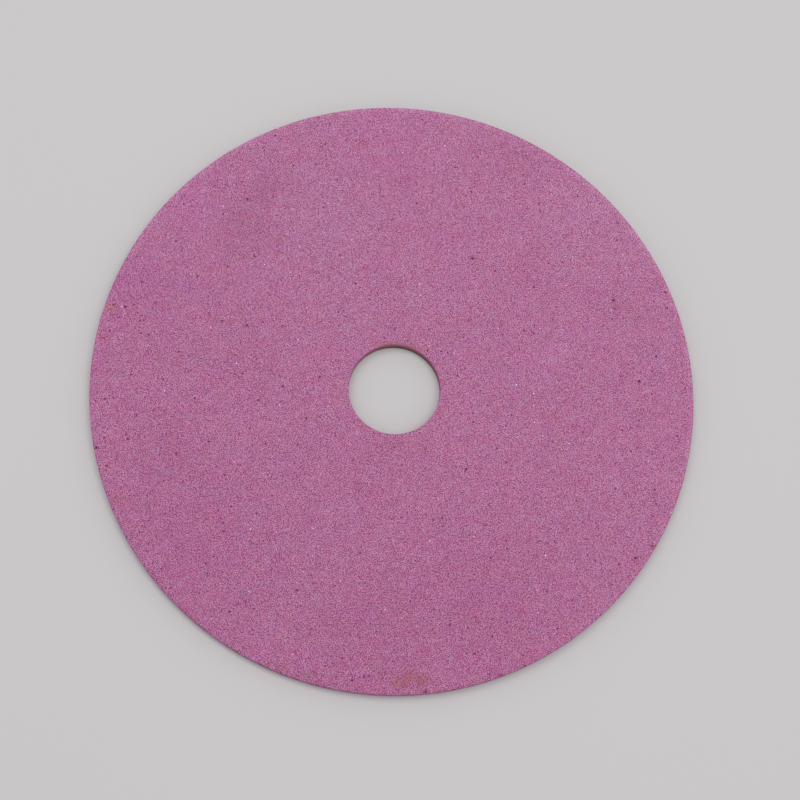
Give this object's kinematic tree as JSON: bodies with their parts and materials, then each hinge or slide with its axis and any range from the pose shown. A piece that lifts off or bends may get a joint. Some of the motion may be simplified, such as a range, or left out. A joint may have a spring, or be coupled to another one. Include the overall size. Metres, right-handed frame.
{
  "type": "chainsaw sharpening wheel",
  "caption": "Thin flat abrasive disc with a plain round arbor bore, for grinding the cutters of a saw chain on a bench grinder.",
  "frame": {"origin": "on the wheel's axis, in the plane of the lower face, the face that the wheel lies on", "axes": "+Z along the wheel's axis, up through the bore; X and Y lie in the lower face, with +Y to the top of the picture"},
  "size_m": [0.145, 0.145, 0.0032],
  "materials": {
    "pink_abrasive": "matte"
  },
  "bodies": {
    "root": {"grinding_wheel": "pink_abrasive"}
  },
  "joints": []
}
